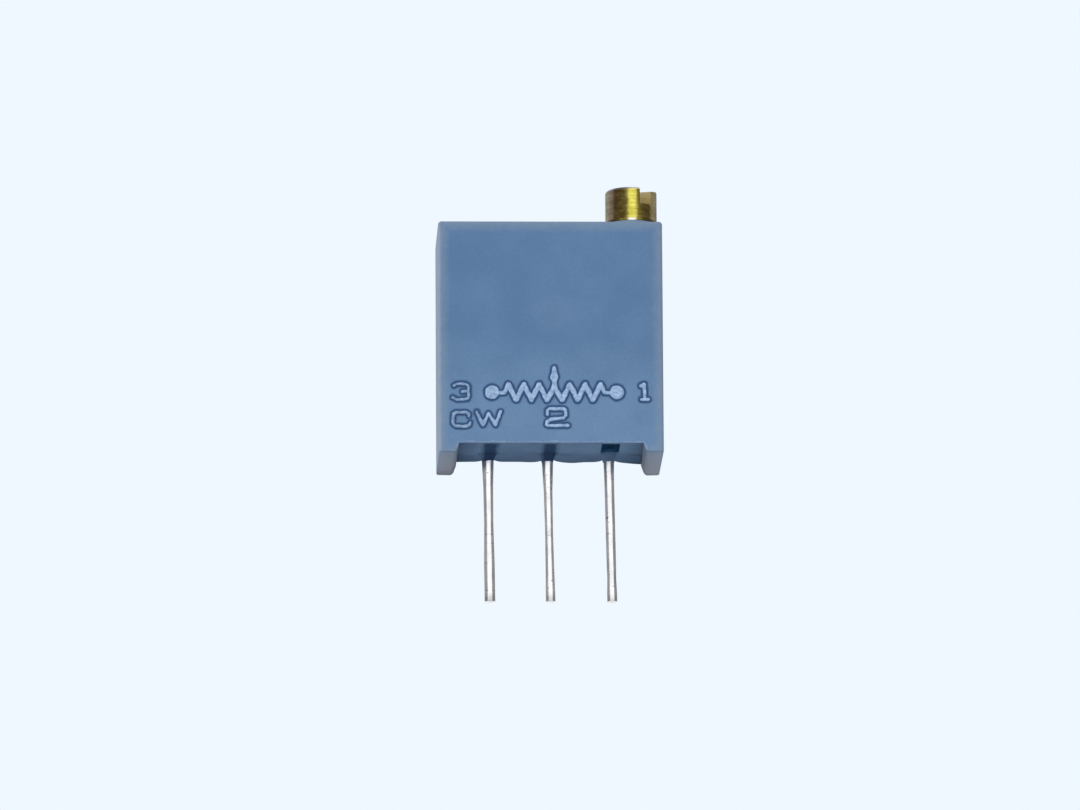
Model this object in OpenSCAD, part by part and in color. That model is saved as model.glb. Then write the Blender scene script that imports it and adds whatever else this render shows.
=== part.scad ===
// Square multi-turn trimmer potentiometer with a top adjustment screw and three in-line pins.
// X runs along the row of pins, the front face looks along -Y, and Z runs up from the board.
// The origin is on the middle pin's axis, at the height of the feet's lower faces.

/* [Body] */
// Width of the body along the row of pins
body_w = 9.53; // [9.2:0.01:11.5]
// Depth of the body, front face to back rim
body_d = 4.83; // [4.7:0.01:5.8]
// Height of the top face above the board
body_h = 10.03; // [9.6:0.01:12.2]
// Height of the two feet
foot_h = 0.38; // [0.3:0.01:0.6]
// Width of a foot at its lower face
foot_w = 0.72; // [0.5:0.01:0.9]
// How much wider a foot is at its root than at its lower face
foot_slope = 0.14; // [0.05:0.01:0.4]
// Thickness of the front wall
front_wall = 0.7; // [0.55:0.01:0.78]
// Thickness of the side walls
side_wall = 0.4; // [0.3:0.01:0.6]
// Thickness of the top wall that seals the screw
top_wall = 1.58; // [1.3:0.01:1.9]
// Thickness of the floor
floor_t = 0.7; // [0.55:0.01:0.85]
// Radius of the moulded outer edges
edge_r = 0.14; // [0.05:0.01:0.2]
// Height of the raised marks on the front face
mark_t = 0.08; // [0.04:0.01:0.15]

/* [Pins] */
// Distance between neighbouring pins
pin_pitch = 2.54; // [2:0.01:3.05]
// Diameter of a pin
pin_d = 0.46; // [0.38:0.01:0.6]
// Length of a pin below the board face
pin_l = 6; // [2:0.1:8]
// Width of the fork that grips the substrate
fork_w = 0.7; // [0.5:0.01:0.9]
// Height of the fork above the substrate's lower edge
fork_h = 0.85; // [0.6:0.01:1.02]
// Thickness of a fork's prong
prong_t = 0.15; // [0.1:0.01:0.2]

/* [Adjustment screw] */
// Distance of the screw's axis from the right side
screw_from_side = 1.27; // [1.2:0.01:1.53]
// Distance of the screw's axis from the front face
screw_from_front = 1.27; // [1.2:0.01:1.3]
// Diameter of the slotted head
head_d = 2.19; // [1.82:0.01:2.3]
// Height of the head's top above the top face
head_h = 1.52; // [1:0.01:2]
// Width of the screwdriver slot
slot_w = 0.56; // [0.4:0.01:0.7]
// Depth of the screwdriver slot
slot_depth = 0.7; // [0.4:0.01:0.9]
// Direction of the slot, from the front towards the right
slot_angle = 33; // [-90:1:90]
// Diameter of the sealed shank, which the worm's thread just passes
shank_d = 1.68; // [1.4:0.01:1.7]
// Diameter of the lower journal
journal_d = 0.9; // [0.6:0.01:1.1]

/* [Worm drive] */
// Module of the worm and wheel
gear_module = 0.2; // [0.16:0.001:0.21]
// Number of teeth on the wheel
wheel_teeth = 32; // [30:1:34]
// Thickness of the wheel
wheel_w = 0.9; // [0.7:0.01:1.08]
// Play between the flanks of the thread and the teeth
backlash = 0.08; // [0.06:0.01:0.12]
// Diameter of the post that the wheel turns on
post_d = 1.2; // [1:0.05:1.6]

/* [Element] */
// Thickness of the ceramic substrate
substrate_t = 0.508; // [0.4:0.001:0.6]
// Thickness of the printed films
film_t = 0.02; // [0.01:0.001:0.03]
// Mean radius of the resistive track
track_r = 2.2; // [1.8:0.01:2.4]
// Width of the resistive track
track_w = 0.5; // [0.3:0.01:0.6]
// Mean radius of the collector ring
collector_r = 1; // [0.8:0.05:1.1]

/* [Hidden] */
$fn = 48;

// Clearances: running fits, seats of loose pieces, and the skin between potting and what it holds
run_gap = 0.03;
seat_gap = 0.05;
skin_gap = 0.01;
eps = 0.1;

// Faces of the body
front_y = -body_d / 2;
back_y = body_d / 2;
floor_top = foot_h + floor_t;
ceiling = body_h - top_wall;
pocket_w = body_w - 2 * side_wall;

// Screw and its bore
screw_x = body_w / 2 - screw_from_side;
screw_y = front_y + screw_from_front;
bore_d = shank_d + 2 * run_gap;
collar_lip = 0.11;
collar_d = head_d + 2 * collar_lip;
collar_h = 0.07;
head_z = body_h + collar_h + run_gap;
groove_d = 1.04;
groove_h = 0.5;
groove_z = (ceiling + body_h - groove_h) / 2;
neck_d = 1;
clip_t = 0.2;
clip_grip = 0.11;
clip_w = bore_d + 2 * clip_grip;
clip_z = ceiling - run_gap - clip_t;

// Worm and wheel: the worm's axial pitch is the wheel's circular pitch, and the thread takes a
// little less than half of it
pressure_angle = 20;
lead = PI * gear_module;
thread_gap = 0.02;
worm_dedendum = 1.15 * gear_module;
wheel_dedendum = 1.25 * gear_module;
worm_d = shank_d - 2 * thread_gap;
worm_r = worm_d / 2 - gear_module;
root_r = worm_r - worm_dedendum;
thread_share = 0.455;
thread_t = (lead - backlash) * thread_share;
worm_turns = 7;
worm_steps = 24;
worm_collar = 0.45;
wheel_r = gear_module * wheel_teeth / 2;
wheel_tip_r = wheel_r + gear_module;
wheel_root_r = wheel_r - wheel_dedendum;
wheel_x = screw_x - worm_r - wheel_r;
wheel_y = screw_y;
cavity_gap = 0.1;
cavity_web = 0.12;
wheel_cavity_r = wheel_tip_r + cavity_gap;
wheel_z = floor_top + cavity_web + wheel_cavity_r;
journal_z = wheel_z - wheel_tip_r;
thread_z = wheel_z - worm_turns / 2 * lead;
worm_bottom = thread_z - worm_collar * lead;
wheel_bore_d = post_d + 2 * run_gap;
thrust_w = 0.3;
wheel_front = wheel_y - wheel_w / 2;
wheel_back = wheel_y + wheel_w / 2;
bore_depth = 0.6 * wheel_w;

// Substrate, centred on the pins
substrate_front = -substrate_t / 2;
substrate_w = pocket_w - 2 * seat_gap;
substrate_bottom = floor_top + skin_gap;
substrate_top = ceiling - seat_gap;
film_front = substrate_front - film_t;
pin_root_d = pin_d + 0.05;
fork_web = 0.25;
fork_bottom = substrate_bottom - fork_web;
fork_top = substrate_bottom + fork_h;
fork_d = substrate_t + film_t + 2 * prong_t;
solder_h = 0.17;
track_gap = 30;
run_w = 0.3;
pad_w = fork_w - 0.1;
pad_top = fork_top + solder_h - wheel_z;
pad_bottom = substrate_bottom - wheel_z;

// Openings of the floor around the pins, and the epoxy's free faces
window_gap = 0.035;
window_w = fork_w + 2 * window_gap;
window_web = 0.1;
window_depth = floor_t - window_web;
window_lip = 0.25;
rear_opening_w = body_w - 2 * (foot_w + foot_slope);
potting_bottom = foot_h + 0.04;
potting_back = back_y - 0.12;

// Wiper
wiper_t = 0.08;
wiper_plate_r = 1.5;
finger_w = 0.3;
finger_gap = 0.08;
rivet_d = 0.3;
rivet_head_d = 0.46;
rivet_head_h = 0.06;
rivet_r = 0.45 * (post_d / 2 + wiper_plate_r);

// Raised marks
stroke_w = 0.12;
symbol_x = 0.14;
symbol_z = 2.55;
zig_step = 0.325;
zig_h = 0.72;
dot_d = 0.54;
dot_x = 2.66;
left_marks_x = 0.905 - body_w / 2;
right_marks_x = body_w / 2 - 0.765;
lower_marks_z = 1.42;

function polar(r, a) = [r * cos(a), r * sin(a)];
function arc(r, a0, a1, n) = [for (i = [0:n]) polar(r, a0 + (a1 - a0) * i / n)];
function offset_by(points, d) = [for (p = points) p + d];
function involute(a) = tan(a) * 180 / PI - a;

// A rectangle with round corners, centred
module rounded_rect(w, h, r) {
    square([w - 2 * r, h], center = true);
    square([w, h - 2 * r], center = true);
    for (sx = [-1, 1], sy = [-1, 1])
        translate([sx * (w / 2 - r), sy * (h / 2 - r)]) circle(r);
}

// A stroke of constant width with round ends through points in the plane
module stroke(points, w) {
    for (p = points) translate(p) circle(d = w);
    for (i = [1:len(points) - 1]) {
        step = points[i] - points[i - 1];
        translate(points[i - 1]) rotate(atan2(step[1], step[0]))
            translate([0, -w / 2]) square([norm(step), w]);
    }
}

// ---- Housing ----

// The block with its moulded edges, from the underside to the top face
module outer_block() {
    h = body_h - foot_h;
    intersection() {
        translate([0, 0, foot_h]) linear_extrude(h) rounded_rect(body_w, body_d, edge_r);
        translate([0, back_y, foot_h]) rotate([90, 0, 0])
            linear_extrude(body_d) rounded_rect(body_w, 2 * h, edge_r);
        translate([-body_w / 2, 0, foot_h]) rotate([90, 0, 90])
            linear_extrude(body_w) rounded_rect(body_d, 2 * h, edge_r);
    }
}

// Section of the right foot: a plain outer side, round lower edges and a sloped inner side
module foot_section() {
    r = 0.1;
    outer = body_w / 2;
    inner = outer - foot_w;
    lean = atan(foot_slope / foot_h);
    polygon(concat(
        [[outer, foot_h + eps]],
        offset_by(arc(r, 0, -90, 6), [outer - r, r]),
        offset_by(arc(r, -90, lean - 180, 6), [inner + r / tan(45 + lean / 2), r]),
        [[inner - foot_slope, foot_h], [inner, foot_h + eps]]));
}

module feet() {
    intersection() {
        for (side = [0, 1]) mirror([side, 0, 0])
            translate([0, back_y, 0]) rotate([90, 0, 0]) linear_extrude(body_d) foot_section();
        linear_extrude(foot_h + eps) rounded_rect(body_w, body_d, edge_r);
    }
}

// The zigzag symbol with its arrow and the terminal numbers, drawn in the plane of the front face
module marks_2d() {
    for (side = [-1, 1]) {
        zig = [for (i = [0:5]) [side * zig_step * (i + 1), zig_h * (i % 2 - 0.5)]];
        translate([symbol_x, symbol_z]) {
            stroke(concat([[0, zig_h * 0.35]], zig, [[side * (dot_x - 0.46), 0], [side * dot_x, 0]]),
                   stroke_w);
            translate([side * dot_x, 0]) circle(d = dot_d);
        }
    }
    translate([symbol_x, symbol_z + zig_h * 0.35]) {
        stroke([[0, 0], [0, 0.5]], stroke_w * 1.4);
        polygon([[-0.13, 0.38], [0.13, 0.38], [0, 0.88]]);
    }
    translate([left_marks_x, symbol_z])
        stroke([[-0.36, 0.28], [-0.24, 0.36], [0.24, 0.36], [0.34, 0.26], [0.34, -0.26],
                [0.24, -0.36], [-0.24, -0.36], [-0.36, -0.28]], stroke_w);
    translate([left_marks_x, symbol_z]) stroke([[-0.1, 0], [0.34, 0]], stroke_w);
    translate([right_marks_x, symbol_z]) {
        stroke([[-0.16, 0.24], [0.02, 0.36], [0.02, -0.36]], stroke_w);
        stroke([[-0.18, -0.36], [0.2, -0.36]], stroke_w);
    }
    translate([left_marks_x, lower_marks_z])
        stroke([[0.35, 0.12], [0.35, 0.18], [0.24, 0.29], [-0.24, 0.29], [-0.35, 0.18],
                [-0.35, -0.18], [-0.24, -0.29], [0.24, -0.29], [0.35, -0.18], [0.35, -0.12]],
               stroke_w);
    translate([left_marks_x + 1.16, lower_marks_z])
        stroke([[-0.5, 0.29], [-0.24, -0.29], [0, 0.2], [0.24, -0.29], [0.5, 0.29]], stroke_w);
    translate([symbol_x + 0.1, lower_marks_z + 0.03])
        stroke([[-0.38, 0.22], [-0.26, 0.35], [0.26, 0.35], [0.38, 0.24], [0.38, 0.08],
                [-0.38, -0.24], [-0.38, -0.35], [0.4, -0.35]], stroke_w);
}

// Low collar under the screw's head
module screw_collar() {
    intersection() {
        translate([screw_x, screw_y, body_h - eps]) cylinder(d = collar_d, h = collar_h + eps);
        linear_extrude(body_h + collar_h) rounded_rect(body_w, body_d, edge_r);
    }
}

module front_marks() {
    translate([0, front_y + edge_r / 2, 0]) rotate([90, 0, 0])
        linear_extrude(mark_t + edge_r / 2) marks_2d();
}

// Space for the wheel, open at the back, where the substrate closes it
module wheel_space() {
    y0 = front_y + front_wall;
    translate([wheel_x, substrate_front, wheel_z]) rotate([90, 0, 0])
        cylinder(d = 2 * wheel_cavity_r, h = substrate_front - y0);
}

// Sealed bore, worm channel, clip slot and lower bearing, all on the screw's axis
module screw_space() {
    translate([screw_x, screw_y, 0]) {
        translate([0, 0, worm_bottom - seat_gap])
            cylinder(d = bore_d, h = body_h + collar_h + eps - worm_bottom + seat_gap);
        translate([0, 0, journal_z]) cylinder(d = journal_d + 2 * run_gap, h = worm_bottom);
    }
    translate([screw_x - bore_d / 2, screw_y, worm_bottom - seat_gap])
        cube([bore_d, substrate_front - screw_y, ceiling - worm_bottom + seat_gap]);
    translate([screw_x - clip_w / 2 - skin_gap, screw_y - clip_w / 2, clip_z - run_gap])
        cube([clip_w + 2 * skin_gap, substrate_front - screw_y + clip_w / 2, ceiling - clip_z + run_gap]);
}

// Pocket behind the mechanism for the substrate and the potting, open at the back, with a shallow
// relief that keeps its ledge off the printed conductors
module rear_space() {
    relief_w = 2 * pin_pitch + fork_w + 2 * seat_gap;
    translate([-relief_w / 2, film_front - run_gap, floor_top])
        cube([relief_w, film_t + run_gap + eps, wheel_z - track_r + track_w / 2 - floor_top]);
    translate([-pocket_w / 2, substrate_front, floor_top])
        cube([pocket_w, body_d, ceiling - floor_top]);
    translate([-rear_opening_w / 2, substrate_front, -eps])
        cube([rear_opening_w, body_d, floor_top + 2 * eps]);
}

// A window in the floor in front of a pin, and the pocket for its fork
module pin_space() {
    y0 = front_y + window_lip;
    translate([-window_w / 2, y0, -eps])
        cube([window_w, substrate_front - y0 + eps, foot_h + window_depth + eps]);
    fork_front = film_front - prong_t - seat_gap;
    translate([-window_w / 2, fork_front, foot_h])
        cube([window_w, substrate_front - fork_front + eps, fork_top + solder_h + seat_gap - foot_h]);
}

// The post that the wheel turns on, with its thrust face
module wheel_post() {
    y0 = front_y + front_wall;
    translate([wheel_x, y0 - eps, wheel_z]) rotate([-90, 0, 0]) {
        cylinder(d = post_d, h = wheel_front + bore_depth - seat_gap - y0 + eps);
        cylinder(d = post_d + 2 * thrust_w, h = wheel_front - run_gap - y0 + eps);
    }
}

module housing() {
    color("steelblue") {
        difference() {
            union() {
                outer_block();
                feet();
                front_marks();
                screw_collar();
            }
            wheel_space();
            screw_space();
            rear_space();
            for (i = [-1:1]) translate([i * pin_pitch, 0, 0]) pin_space();
        }
        wheel_post();
    }
}

// ---- Screw, seal and clip ----

function worm_point(k, j) =
    let (a = 360 * k / worm_steps,
         half = thread_t / 2,
         rise = tan(pressure_angle),
         z = [-half - (worm_r - root_r) * rise, -half + gear_module * rise,
              half - gear_module * rise, half + (worm_r - root_r) * rise][j],
         r = j == 0 || j == 3 ? root_r : worm_d / 2)
    [r * cos(a), r * sin(a), z + lead * k / worm_steps];

// Single-start right-hand worm with its core: four strips that climb around the axis, closed by a
// fan at each end, which the plain collars of the screw cover
module worm_thread() {
    last = worm_turns * worm_steps;
    points = [for (k = [0:last], j = [0:3]) worm_point(k, j)];
    bottom = len(points);
    top = bottom + 1;
    strips = [for (k = [0:last - 1], j = [0:2])
        [4 * k + j, 4 * k + j + 1, 4 * k + j + 5, 4 * k + j + 4]];
    lands = [for (k = [0:last - worm_steps - 1])
        [4 * k + 3, 4 * (k + worm_steps), 4 * (k + worm_steps + 1), 4 * k + 7]];
    bottom_fan = concat(
        [for (k = [0:worm_steps - 1]) [bottom, 4 * k, 4 * k + 4]],
        [[bottom, 4 * worm_steps, 3]],
        [for (j = [0:2]) [bottom, j + 1, j]]);
    top_fan = concat(
        [for (k = [last - worm_steps:last - 1]) [top, 4 * k + 7, 4 * k + 3]],
        [for (j = [0:2]) [top, 4 * last + j, 4 * last + j + 1]],
        [[top, 4 * (last - worm_steps) + 3, 4 * last]]);
    polyhedron(
        points = concat(points, [[0, 0, points[0][2]], [0, 0, points[4 * last + 3][2]]]),
        faces = concat(strips, lands, bottom_fan, top_fan));
}

module adjustment_screw() {
    collar_top = clip_z - run_gap;
    fan_h = 1.15 * lead;
    color("goldenrod") translate([screw_x, screw_y, 0]) difference() {
        union() {
            translate([0, 0, journal_z + seat_gap])
                cylinder(d = journal_d, h = worm_bottom - journal_z);
            translate([0, 0, worm_bottom]) cylinder(d = shank_d, h = fan_h);
            translate([0, 0, thread_z]) worm_thread();
            translate([0, 0, thread_z + worm_turns * lead - 0.7 * lead])
                cylinder(d = shank_d, h = collar_top - thread_z - (worm_turns - 0.7) * lead);
            translate([0, 0, collar_top - eps]) cylinder(d = neck_d, h = ceiling - collar_top + 2 * eps);
            translate([0, 0, ceiling]) cylinder(d = shank_d, h = groove_z - ceiling);
            translate([0, 0, groove_z - eps]) cylinder(d = groove_d, h = groove_h + 2 * eps);
            translate([0, 0, groove_z + groove_h])
                cylinder(d = shank_d, h = head_z - groove_z - groove_h + eps);
            translate([0, 0, head_z]) cylinder(d = head_d, h = body_h + head_h - head_z);
        }
        translate([0, 0, body_h + head_h - slot_depth]) rotate(slot_angle - 90)
            translate([-head_d, -slot_w / 2, 0]) cube([2 * head_d, slot_w, slot_depth + eps]);
    }
}

// The ring sits on the groove's floor and just clears the bore
module o_ring() {
    section_d = (bore_d - groove_d) / 2 - skin_gap;
    color("black") translate([screw_x, screw_y, groove_z + groove_h / 2])
        rotate_extrude() translate([(groove_d + section_d) / 2, 0]) circle(d = section_d);
}

// Flat U-shaped clip, pushed in from behind around the screw's neck
module retaining_clip() {
    depth = substrate_front - skin_gap - screw_y;
    gap_d = neck_d + 2 * run_gap;
    color("silver") translate([screw_x, screw_y, clip_z]) linear_extrude(clip_t) difference() {
        translate([-clip_w / 2, -clip_w / 2 + skin_gap]) square([clip_w, clip_w / 2 - skin_gap + depth]);
        circle(d = gap_d);
        translate([-gap_d / 2, -clip_w]) square([gap_d, clip_w]);
    }
}

// ---- Worm wheel and wiper ----

// Half the angle that a tooth covers at radius r
function tooth_half_angle(r) =
    let (base_r = wheel_r * cos(pressure_angle),
         half_t = (lead - thread_t - backlash) / 2)
    half_t / wheel_r * 180 / PI + involute(pressure_angle) - (r > base_r ? involute(acos(base_r / r)) : 0);

module wheel_section() {
    radii = [for (i = [0:3]) wheel_root_r + (wheel_tip_r - wheel_root_r) * i / 3];
    pitch_angle = 360 / wheel_teeth;
    polygon([for (t = [0:wheel_teeth - 1])
        let (a = pitch_angle * (t + 0.5))
        each concat(
            [for (r = radii) polar(r, a - tooth_half_angle(r))],
            [for (i = [3:-1:0]) polar(radii[i], a + tooth_half_angle(radii[i]))])]);
}

// Teeth slant to match the worm's lead angle. A gap faces the worm at the wheel's mid-plane
module worm_wheel() {
    slant = wheel_w * lead / (2 * PI * worm_r) / wheel_r * 180 / PI;
    color("ivory") translate([wheel_x, wheel_back, wheel_z]) rotate([90, 0, 0]) {
        difference() {
            rotate(-slant / 2) linear_extrude(wheel_w, twist = -slant, slices = 3) wheel_section();
            translate([0, 0, wheel_w - bore_depth]) cylinder(d = wheel_bore_d, h = bore_depth + eps);
        }
        for (side = [-1, 1]) translate([side * rivet_r, 0, 0]) {
            translate([0, 0, -wiper_t]) cylinder(d = rivet_d, h = wiper_t + eps);
            translate([0, 0, -wiper_t - rivet_head_h]) cylinder(d = rivet_head_d, h = rivet_head_h);
        }
    }
}

// Section of a sprung finger, from its root at radius a to the dimple that rides on a film at radius b
module finger(a, b) {
    rise = film_front - run_gap - wheel_back;
    dimple = 0.08;
    dimple_r = 0.15 * sign(b - a);
    low = rise - dimple - wiper_t;
    path = [[0, a], [low, b - dimple_r], [low + dimple, b], [low, b + dimple_r]];
    rotate([90, 0, 90]) translate([0, 0, -finger_w / 2]) linear_extrude(finger_w)
        polygon(concat(path, [for (i = [3:-1:0]) path[i] + [wiper_t, 0]]));
}

// Sheet-metal wiper: a round plate held by two rivets, with one finger on the track and one, cut out
// of the plate, on the collector ring
module wiper() {
    window_top = 0.45;
    window_bottom = collector_r + 0.25;
    color("lightgray") translate([wheel_x, wheel_back, wheel_z]) {
        difference() {
            rotate([-90, 0, 0]) cylinder(r = wiper_plate_r, h = wiper_t);
            for (side = [-1, 1]) translate([side * rivet_r, -eps, 0]) rotate([-90, 0, 0])
                cylinder(d = rivet_d + 2 * skin_gap, h = wiper_t + 2 * eps);
            translate([-finger_w / 2 - finger_gap, -eps, -window_bottom])
                cube([finger_w + 2 * finger_gap, wiper_t + 2 * eps, window_bottom + window_top]);
        }
        finger(wiper_plate_r - 0.2, track_r);
        finger(window_top + 0.1, -collector_r);
    }
}

// ---- Substrate and its printed films ----

module substrate() {
    color("white") translate([-substrate_w / 2, substrate_front, substrate_bottom])
        cube([substrate_w, substrate_t, substrate_top - substrate_bottom]);
}

// Prints a flat shape, drawn around the wheel's axis, on the substrate's front
module film() {
    translate([wheel_x, substrate_front, wheel_z]) rotate([90, 0, 0])
        linear_extrude(film_t) children();
}

module track_2d() {
    difference() {
        circle(r = track_r + track_w / 2);
        circle(r = track_r - track_w / 2);
        polygon([[0, 0], polar(2 * track_r, -90 - track_gap), polar(2 * track_r, -90 + track_gap)]);
    }
}

module resistive_track() {
    color("dimgray") film() track_2d();
}

// The part of a conductor under a pin's fork, x to the right of the wheel's axis
module pad_2d(x) {
    translate([x - pad_w / 2, pad_bottom]) square([pad_w, pad_top - pad_bottom]);
}

// Conductor from one end of the track to the outer pin on that side, drawn for the right side
module end_conductor(side) {
    pad_x = pin_pitch - side * wheel_x;
    run_z = -track_r - track_w / 2 - run_w / 2 - 0.05;
    color("silver") film() mirror([side < 0 ? 1 : 0, 0]) difference() {
        union() {
            stroke([polar(track_r, track_gap - 92), [track_r / 2 + 0.15, run_z], [pad_x, run_z],
                    [pad_x, pad_top - run_w]], run_w);
            pad_2d(pad_x);
        }
        track_2d();
    }
}

module conductor_1() {
    end_conductor(1);
}

// Collector ring with its run down to the middle pin
module conductor_2() {
    ring_w = 0.4;
    color("silver") film() {
        difference() {
            circle(r = collector_r + ring_w / 2);
            circle(r = collector_r - ring_w / 2);
        }
        stroke([[0, -collector_r], [0, pad_top - run_w], [-wheel_x, pad_top - run_w]], run_w);
        pad_2d(-wheel_x);
    }
}

module conductor_3() {
    end_conductor(-1);
}

// ---- Pins, solder and potting ----

// The block of a pin's fork, with a margin all round
module fork_block(margin) {
    translate([-fork_w / 2 - margin, film_front - prong_t - margin, fork_bottom - margin])
        cube([fork_w + 2 * margin, fork_d + 2 * margin, fork_top - fork_bottom + 2 * margin]);
}

// A round pin, flared where it enters the epoxy, whose fork grips the substrate's lower edge.
// Pin 1 is on the right
module terminal(number) {
    tip = 0.07;
    color("gainsboro") translate([(2 - number) * pin_pitch, 0, 0]) {
        translate([0, 0, -pin_l]) cylinder(d1 = pin_d - 2 * tip, d2 = pin_d, h = tip);
        translate([0, 0, tip - pin_l]) cylinder(d = pin_d, h = pin_l - tip);
        cylinder(d1 = pin_d, d2 = pin_root_d, h = fork_bottom + eps);
        difference() {
            fork_block(0);
            translate([-fork_w, film_front, substrate_bottom])
                cube([2 * fork_w, substrate_t + film_t, fork_h + eps]);
        }
    }
}

module terminal_1() {
    terminal(1);
}

module terminal_2() {
    terminal(2);
}

module terminal_3() {
    terminal(3);
}

// Fillet of solder between a fork's front prong and the film
module solder(number) {
    length = fork_w - 0.1;
    color("darkgray") translate([(2 - number) * pin_pitch - length / 2, 0, fork_top])
        rotate([90, 0, 90]) linear_extrude(length)
            polygon([[film_front, 0], [film_front - prong_t, 0], [film_front, solder_h]]);
}

module solder_1() {
    solder(1);
}

module solder_2() {
    solder(2);
}

module solder_3() {
    solder(3);
}

// Epoxy behind and below the substrate, which also runs into the windows of pins 2 and 3
module potting() {
    skin_w = rear_opening_w - 2 * skin_gap;
    rear_y = substrate_t / 2 + skin_gap;
    front_edge = substrate_front + skin_gap;
    plug_w = window_w - 2 * skin_gap;
    plug_recess = 0.25;
    plug_front = front_y + window_lip + skin_gap;
    color("slategray") difference() {
        union() {
            translate([-pocket_w / 2 + skin_gap, rear_y, floor_top + skin_gap])
                cube([pocket_w - 2 * skin_gap, potting_back - rear_y, ceiling - floor_top - 2 * skin_gap]);
            translate([-skin_w / 2, rear_y, potting_bottom])
                cube([skin_w, potting_back - rear_y, floor_top - potting_bottom + eps]);
            translate([-skin_w / 2, front_edge, potting_bottom])
                cube([skin_w, potting_back - front_edge, substrate_bottom - skin_gap - potting_bottom]);
            for (i = [-1, 0]) translate([i * pin_pitch - plug_w / 2, plug_front, foot_h + plug_recess])
                cube([plug_w, front_edge - plug_front + eps, window_depth - plug_recess - skin_gap]);
        }
        for (i = [-1:1]) translate([i * pin_pitch, 0, 0]) {
            fork_block(skin_gap);
            cylinder(d1 = pin_d + 2 * skin_gap, d2 = pin_root_d + 2 * skin_gap, h = fork_bottom);
        }
    }
}

housing();
adjustment_screw();
o_ring();
retaining_clip();
worm_wheel();
wiper();
substrate();
resistive_track();
conductor_1();
conductor_2();
conductor_3();
terminal_1();
terminal_2();
terminal_3();
solder_1();
solder_2();
solder_3();
potting();
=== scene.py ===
"""Looks of a square multi-turn trimmer: blue moulded case, slotted brass screw, three tinned pins.

Pieces are modelled in millimetres and brought to metres by finish_piece().
"""
import math

import bmesh
import bpy
from mathutils import Matrix, Vector, noise


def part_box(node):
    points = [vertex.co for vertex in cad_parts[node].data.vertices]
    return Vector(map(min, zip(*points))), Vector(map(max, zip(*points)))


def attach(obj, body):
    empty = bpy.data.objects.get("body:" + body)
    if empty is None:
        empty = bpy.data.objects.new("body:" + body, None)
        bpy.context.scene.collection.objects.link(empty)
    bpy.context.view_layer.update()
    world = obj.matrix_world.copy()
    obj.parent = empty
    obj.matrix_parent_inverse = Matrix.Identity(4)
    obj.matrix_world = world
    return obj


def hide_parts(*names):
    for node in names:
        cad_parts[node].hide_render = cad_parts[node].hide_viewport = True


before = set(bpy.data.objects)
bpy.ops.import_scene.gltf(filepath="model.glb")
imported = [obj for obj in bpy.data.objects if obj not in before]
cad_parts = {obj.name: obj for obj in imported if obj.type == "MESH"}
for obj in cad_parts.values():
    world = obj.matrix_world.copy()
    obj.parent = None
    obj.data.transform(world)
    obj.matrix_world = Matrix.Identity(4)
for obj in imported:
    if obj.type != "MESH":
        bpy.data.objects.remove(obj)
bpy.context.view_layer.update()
MM = 0.001

# ---- Sizes in millimetres ----

body_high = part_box("housing")[1] / MM
HALF_W = body_high.x
BACK_Y = body_high.y
FRONT_Y = -BACK_Y
TOP_Z = 10.03
EDGE_R = 0.14
LOW_R = 0.06
FOOT_H = 0.38
FOOT_W = 0.72
FOOT_SLOPE = 0.14
# half the channel's width between the feet, at the soles and at its top
CHANNEL_LOW = HALF_W - FOOT_W
CHANNEL_HIGH = CHANNEL_LOW - FOOT_SLOPE
REAR_HALF_W = CHANNEL_HIGH - 0.005
POCKET_HALF_W = HALF_W - 0.4
FRONT_WALL = 0.7
FLOOR_TOP = 1.08
CEILING = 8.45
SUBSTRATE_FRONT = -0.254
WINDOW_HALF_W = 0.385
WINDOW_FRONT = FRONT_Y + 0.25
MARK_T = 0.08

PIN_PITCH = 2.54
PIN_L = 6.0
FORK_FRONT, FORK_BACK = -0.424, 0.404

SCREW_X, SCREW_Y = 3.495, -1.145
HEAD_R = 1.095
HEAD_TOP = 11.58
HEAD_BOTTOM = 10.13
COLLAR_R = 1.205
COLLAR_H = 0.07
SHANK_R = 0.84
BORE_R = 0.87
BORE_LOW = 2.16
JOURNAL_R = 0.45
JOURNAL_LOW = 1.35
NECK_R, NECK_LOW = 0.5, 8.19
SEAL_R, SEAL_LOW, SEAL_HIGH = 0.52, 8.99, 9.49
SLOT_W = 0.56
SLOT_DEPTH = 0.7
SLOT_ANGLE = 33

WHEEL_X, WHEEL_Z = -0.325, 4.7
WHEEL_CAVITY_R = 3.5
POST_R, POST_END = 0.6, -1.105
GEAR_MODULE = 0.2
LEAD = math.pi * GEAR_MODULE
WORM_TURNS = 7

# what keeps two surfaces from lying in one plane, and what takes a cut clear through a wall
HAIR = 0.004
CLEAR = 1
SMOOTH_ANGLE = math.radians(35)


# ---- Modelling helpers ----

def clear_selection():
    """Leaves edit mode and deselects every object."""
    if bpy.context.object and bpy.context.object.mode != "OBJECT":
        bpy.ops.object.mode_set(mode="OBJECT")
    bpy.ops.object.select_all(action="DESELECT")


def activate(piece):
    """Selects one piece alone."""
    clear_selection()
    piece.select_set(True)
    bpy.context.view_layer.objects.active = piece


def apply_place(piece):
    """Moves a piece's place, turn and scale into its mesh."""
    activate(piece)
    bpy.ops.object.transform_apply(location=True, rotation=True, scale=True)
    return piece


def box(low, high):
    """A block between its lowest and highest corners."""
    clear_selection()
    low, high = Vector(low), Vector(high)
    bpy.ops.mesh.primitive_cube_add(size=1, location=(low + high) / 2, scale=high - low)
    return apply_place(bpy.context.object)


def rod(base, top, radius, sides=64):
    """A cylinder between two points on one axis."""
    clear_selection()
    base, top = Vector(base), Vector(top)
    along = top - base
    bpy.ops.mesh.primitive_cylinder_add(
        vertices=sides, radius=radius, depth=along.length, location=(base + top) / 2,
        rotation=along.to_track_quat("Z", "Y").to_euler())
    return apply_place(bpy.context.object)


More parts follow.
